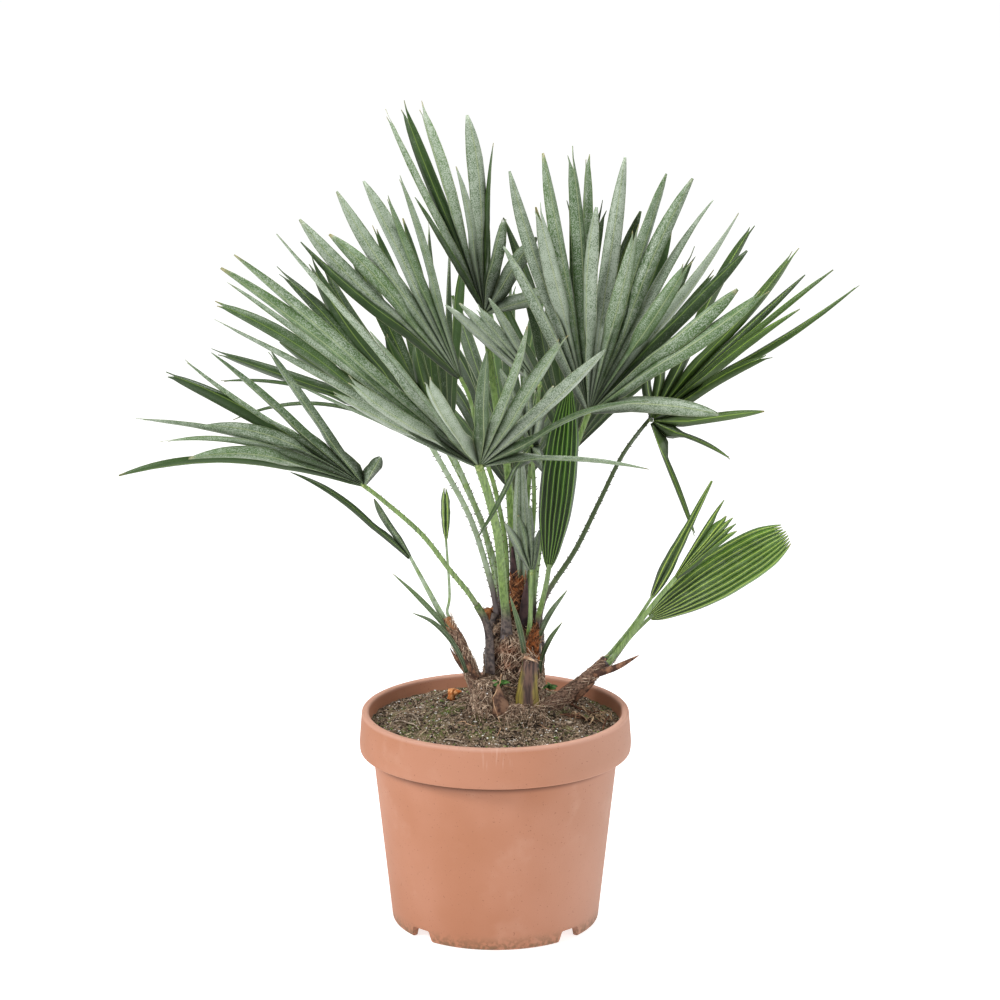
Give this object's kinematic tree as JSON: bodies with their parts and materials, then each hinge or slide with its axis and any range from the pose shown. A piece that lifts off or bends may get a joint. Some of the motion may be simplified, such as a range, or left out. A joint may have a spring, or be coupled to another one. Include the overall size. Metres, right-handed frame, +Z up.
{
  "type": "potted fan palm",
  "caption": "Young clumping fan palm with silver fan leaves on spiny stalks, a fibrous trunk with side shoots, and soil in a flanged terracotta-coloured pot",
  "frame": {"origin": "centre of the pot's underside, on the floor", "axes": "+Z up along the pot's axis, -Y towards the palm's front, +X to the right of a viewer in front of it"},
  "size_m": [0.8055, 0.599, 0.8984],
  "materials": {
    "terracotta": "matte moulded plastic in a terracotta colour, faint mottling and pale stains",
    "soil": "dry potting soil with perlite grains and moss",
    "trunk_fibre": "matted brown sheath fibre",
    "leaf_base": "smooth old leaf bases, olive to purple brown",
    "silver_leaf": "waxy silver-green leaf, satin",
    "green_leaf": "deep green leaf with yellow-green ribs, satin",
    "stalk": "smooth green stalk with small dark spines, satin"
  },
  "bodies": {
    "root": {"pot": "terracotta", "soil": "soil", "trunk": "trunk_fibre", "shoot_left": "trunk_fibre", "shoot_right": "trunk_fibre", "boot_front": "leaf_base", "boot_left": "leaf_base", "boot_stub": "trunk_fibre", "bract_right": "trunk_fibre", "fan_front": "silver_leaf", "fan_mid_left": "green_leaf", "fan_mid_back": "green_leaf", "fan_right_top": "silver_leaf", "fan_left_top": "silver_leaf", "fan_back_tall": "silver_leaf", "fan_right_low": "green_leaf", "fan_left_low": "silver_leaf", "fan_edge_on": "silver_leaf", "fan_centre": "silver_leaf", "fan_young": "green_leaf", "fan_back_right": "green_leaf", "fan_back_left": "green_leaf", "fan_back_low": "green_leaf", "fan_folded": "green_leaf", "fan_spear": "silver_leaf", "fan_shoot_left": "green_leaf", "fan_shoot_right": "green_leaf", "fan_sprout": "green_leaf", "fan_pleated": "green_leaf", "fan_narrow": "green_leaf", "sword_right_high": "green_leaf", "sword_right_low": "green_leaf", "sword_front": "green_leaf", "sword_left_high": "green_leaf", "sword_left_low": "green_leaf", "stalk_front": "stalk", "stalk_left_low": "stalk", "stalk_mid_left": "stalk", "stalk_mid_back": "stalk", "stalk_left_top": "stalk", "stalk_back_tall": "stalk", "stalk_right_top": "stalk", "stalk_right_low": "stalk", "stalk_folded": "stalk", "stalk_edge_on": "stalk", "stalk_centre": "stalk", "stalk_young": "stalk", "stalk_spear": "stalk", "stalk_back_right": "stalk", "stalk_back_left": "stalk", "stalk_back_low": "stalk", "stalk_shoot_left": "stalk", "stalk_sprout": "stalk", "stalk_pleated": "stalk", "stalk_shoot_right": "stalk", "stalk_narrow": "stalk"}
  },
  "joints": []
}
